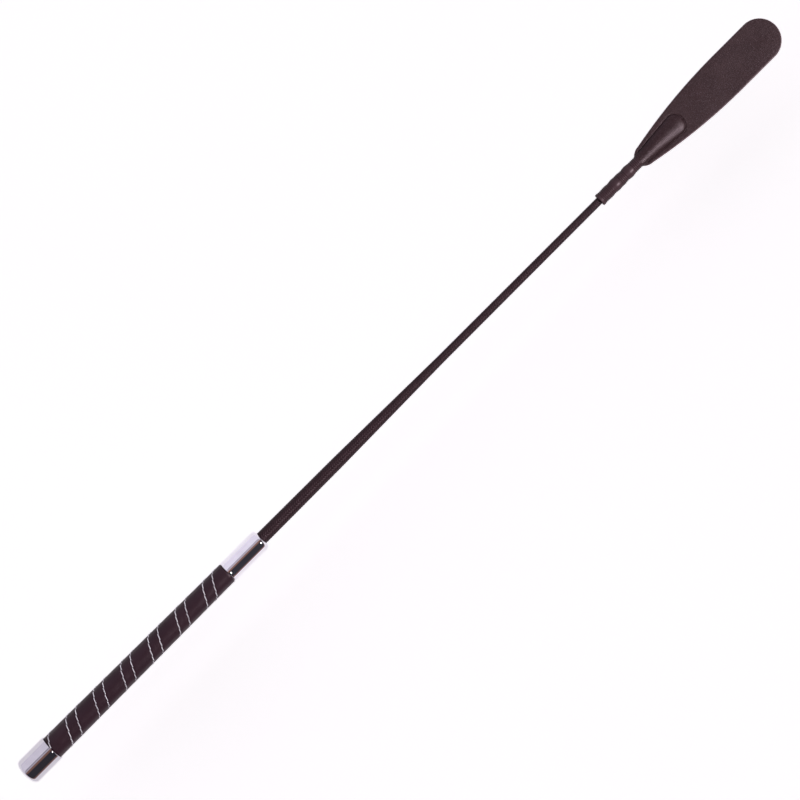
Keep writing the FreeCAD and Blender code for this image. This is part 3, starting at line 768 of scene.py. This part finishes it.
def boss_distance(along, across):
    """Distance outside the boss's outline (negative inside), the share of the way from the boss's middle
    to its outline, and the height of its crown at that station."""
    widest = BOSS_LENGTH - BOSS_END
    share = np.clip(along / widest, 0, 1)
    half_width = BOSS_ROOT + (BOSS_HALF_WIDTH - BOSS_ROOT) * share
    past = np.clip(along - widest, 0, None) / BOSS_END
    reach = np.sqrt(past ** 2 + (across / half_width) ** 2)
    crown = BOSS_ROOT + (BOSS_HEIGHT - BOSS_ROOT) * share
    return (reach - 1) * half_width, reach, crown


def leather_height(along, across):
    """Height of a layer's face above the middle plane: flat sheet, formed boss and its crease."""
    distance, reach, crown = boss_distance(along, across)
    roundness = 0.5 + 0.4 * smooth_step(along / 15)
    dome = np.clip(1 - np.clip(reach, 0, 1) ** 2.1, 0, 1) ** roundness
    from_slit = distance + CREASE_SHIFT
    spread = np.where(from_slit < 0, CREASE_INSIDE, CREASE_OUTSIDE)
    crease = CREASE_DEPTH * np.exp(-(from_slit / spread) ** 2) * smooth_step((along - 1.0) / 3.0)
    drift = DRIFT_HEIGHT * np.sin(along * 0.13 + 0.6) * np.sin(across * 0.22 + along * 0.03)
    drift = drift * smooth_step((along - BOSS_LENGTH) / 20)
    return LAYER + (crown - LAYER) * dome - crease + drift


def make_flapper_layer(name, side, inset, nodes, face_material, edge_material):
    """One leather layer: formed face, rounded and cut edge, flat inner side."""
    edge, middle = flapper_outline(inset)
    reach = np.linalg.norm(middle - edge, axis=1)
    rounding = EDGE_ROUNDING * np.array(EDGE_STEPS)
    inner = np.linspace(0, 1, FACE_COLUMNS)[1:]
    shares = []
    for length in reach:
        start = rounding / length
        shares.append(np.concatenate([start, start[-1] + (1 - start[-1]) * inner]))
    shares = np.array(shares)
    plan = edge[:, None, :] + (middle - edge)[:, None, :] * shares[:, :, None]
    inside = shares * reach[:, None]
    short_of_round = EDGE_ROUNDING - np.clip(inside, 0, EDGE_ROUNDING)
    fall = EDGE_ROUNDING - np.sqrt(EDGE_ROUNDING ** 2 - short_of_round ** 2)
    root = 1 - smooth_step(plan[:, :, 0] / ROOT_LENGTH)
    height = leather_height(plan[:, :, 0], plan[:, :, 1]) - fall * (1 - root)
    face = np.stack([plan[:, :, 0], plan[:, :, 1], height * side], axis=-1)
    rows, columns = height.shape
    wall = np.stack([edge[:, 0], edge[:, 1], np.full(rows, LAYER_GAP * side)], axis=-1)
    spine = np.stack([middle[:, 0], middle[:, 1], np.full(rows, LAYER_GAP * side)], axis=-1)
    points = np.concatenate([face.reshape(-1, 3), wall, spine])
    faces = [tuple(quad) for quad in grid_faces(rows, columns)]
    slots = [1 if index % (columns - 1) < CUT_EDGE_COLUMNS else 0 for index in range(len(faces))]
    wall_start = rows * columns
    spine_start = wall_start + rows
    for row in range(rows - 1):
        faces.append((row * columns, wall_start + row, wall_start + row + 1, (row + 1) * columns))
        faces.append((wall_start + row, spine_start + row, spine_start + row + 1, wall_start + row + 1))
        slots.extend([1, 1])
    last = (rows - 1) * columns
    profile = [*range(columns), *range(last + columns - 1, last - 1, -1)]
    faces.append([*profile, wall_start + rows - 1, spine_start + rows - 1, spine_start, wall_start])
    slots.append(0)
    points[:, 0] += FLAPPER_START
    piece = add_mesh(name, points, faces, slots)
    merge_close(piece, 0.002 * MM)
    dress(piece, "flapper_leather", face_material, edge_material)
    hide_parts(*nodes)
    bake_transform(piece)


# ---------------------------------------------------------------- studio
WHITE = (0.93, 0.89, 0.99)
PALE = (0.62, 0.58, 0.66)
GREY = (0.20, 0.18, 0.22)
STREAK = (0.27, 0.15, 0.12)
DARK = (0.043, 0.041, 0.050)
# Light from each tilt about the crop's axis: degrees from straight up, towards +Y, and its colour.
ROOM_LIGHT = [
    (-180, WHITE), (-90, WHITE), (-86, STREAK), (-77, STREAK), (-73, DARK), (-14, DARK), (-9, STREAK),
    (4, STREAK), (8, PALE), (15, PALE), (18, GREY), (20, GREY), (23, WHITE), (180, WHITE),
]
KEY_DIRECTION = (0.44, -0.47, 0.765)
KEY_DISTANCE = 2.4
KEY_SIZE = 0.30
KEY_POWER = 110
FLOOR_DROP = 0.068
FLOOR_GLOW = 0.66
FLOOR_HALF_WIDTH = 4.0
FRAME_WIDTH = 0.49
LENS = 135
SENSOR = 36


def make_floor():
    """A plain pale floor just under the lowest point that the flapper reaches when it bends down."""
    half = FLOOR_HALF_WIDTH
    mesh = bpy.data.meshes.new("floor")
    level = -FLOOR_DROP
    corners = [(-half, -half, level), (half, -half, level), (half, half, level), (-half, half, level)]
    mesh.from_pydata(corners, [], [(0, 1, 2, 3)])
    floor = bpy.data.objects.new("floor", mesh)
    bpy.context.scene.collection.objects.link(floor)
    made = Material("pale_floor", Specular_IOR_Level=0.1)
    mottle = made.noise(300.0, detail=2)
    colour = made.ramp(mottle, (0.3, (0.86, 0.86, 0.86)), (0.7, (0.89, 0.89, 0.89)))
    made.shader.inputs["Emission Color"].default_value = (1, 1, 1, 1)
    made.shader.inputs["Emission Strength"].default_value = FLOOR_GLOW
    floor.data.materials.append(made.finish(Base_Color=colour, Roughness=0.9))
    return floor


def make_world():
    """Soft light that changes with tilt about the crop's axis, with a dark gap on the -Y side.

    The gap gives the chrome its dark band and the brown strips beside it the band's edges. Seen straight by
    the camera, the room is white.
    """
    world = bpy.data.worlds.new("studio")
    bpy.context.scene.world = world
    world.use_nodes = True
    nodes, links = world.node_tree.nodes, world.node_tree.links
    background = nodes["Background"]
    direction = nodes.new("ShaderNodeTexCoord").outputs["Generated"]
    split = nodes.new("ShaderNodeSeparateXYZ")
    links.new(direction, split.inputs[0])
    tilt = nodes.new("ShaderNodeMath")
    tilt.operation = "ARCTAN2"
    links.new(split.outputs["Y"], tilt.inputs[0])
    links.new(split.outputs["Z"], tilt.inputs[1])
    share = nodes.new("ShaderNodeMapRange")
    share.inputs["From Min"].default_value = -math.pi
    share.inputs["From Max"].default_value = math.pi
    links.new(tilt.outputs[0], share.inputs["Value"])
    ramp = nodes.new("ShaderNodeValToRGB")
    elements = ramp.color_ramp.elements
    while len(elements) < len(ROOM_LIGHT):
        elements.new(0.5)
    for element, (degrees, level) in zip(elements, ROOM_LIGHT):
        element.position = (degrees + 180) / 360
        element.color = (*level, 1)
    links.new(share.outputs["Result"], ramp.inputs["Fac"])
    seen = nodes.new("ShaderNodeLightPath")
    choose = nodes.new("ShaderNodeMix")
    choose.data_type = "RGBA"
    links.new(seen.outputs["Is Camera Ray"], choose.inputs[0])
    links.new(ramp.outputs["Color"], choose.inputs[6])
    choose.inputs[7].default_value = (1, 1, 1, 1)
    links.new(choose.outputs[2], background.inputs["Color"])


def add_softbox(name, direction, distance, size, power):
    """A square light that shines on the middle of the crop from a direction."""
    light = bpy.data.lights.new(name, "AREA")
    light.size = size
    light.energy = power
    lamp = bpy.data.objects.new(name, light)
    towards = Vector(direction).normalized()
    lamp.location = Vector((0, 0, AXIS_HEIGHT)) + towards * distance
    lamp.rotation_euler = towards.to_track_quat("Z", "Y").to_euler()
    bpy.context.scene.collection.objects.link(lamp)
    return lamp


def flag_off(lamp, floor):
    """Keeps a light off the floor, as a flag beside it would, so that it throws no shadow there."""
    kept_dark = bpy.data.collections.new("flagged_off")
    kept_dark.objects.link(floor)
    lamp.light_linking.receiver_collection = kept_dark
    kept_dark.collection_objects[0].light_linking.link_state = "EXCLUDE"


def make_camera():
    """Looks straight down on the flapper's broad face, the crop lying along the picture's diagonal."""
    camera = bpy.data.cameras.new("camera")
    camera.lens = LENS
    camera.sensor_width = SENSOR
    holder = bpy.data.objects.new("camera", camera)
    holder.location = (0, 0, AXIS_HEIGHT + FRAME_WIDTH * LENS / SENSOR)
    holder.rotation_euler = (0, 0, math.radians(-45))
    bpy.context.scene.collection.objects.link(holder)
    bpy.context.scene.camera = holder


def main():
    """Builds the pieces from butt to tip, then the studio round them."""
    thread = white_thread()
    yarn = braid_yarn()
    # The butt cap's chrome gets a darker colour than the collar's: painted shade.
    make_butt_cap(chrome_plate("cap_chrome_painted_shade", 0.61))
    make_grip_leather(grip_leather())
    make_stitch_row("stitches_aft", "grip_thread_aft", -ROW_OFFSET, thread)
    make_stitch_row("stitches_fore", "grip_thread_fore", ROW_OFFSET, thread)
    make_front_collar(chrome_plate("bright_chrome", 0.82))
    yarn_set("braid_yarns_right", 1, yarn)
    yarn_set("braid_yarns_left", -1, yarn)
    make_braid_ground(yarn)
    make_tip_ferrule(moulded_brown())
    face, edge = flapper_leather(), cut_leather_edge()
    front_nodes = ("flapper_front_root", "flapper_front_blade")
    back_nodes = ("flapper_back_root", "flapper_back_blade")
    make_flapper_layer("flapper_front_layer", 1, FRONT_INSET, front_nodes, face, edge)
    make_flapper_layer("flapper_back_layer", -1, 0.0, back_nodes, face, edge)
    dress(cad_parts["core_rod"], "glass_fibre", glass_fibre())
    dress(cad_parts["grip_core"], "core_moulding", core_moulding())
    floor = make_floor()
    make_world()
    flag_off(add_softbox("key", KEY_DIRECTION, KEY_DISTANCE, KEY_SIZE, KEY_POWER), floor)
    make_camera()
    bpy.context.scene.view_settings.view_transform = "Standard"


main()
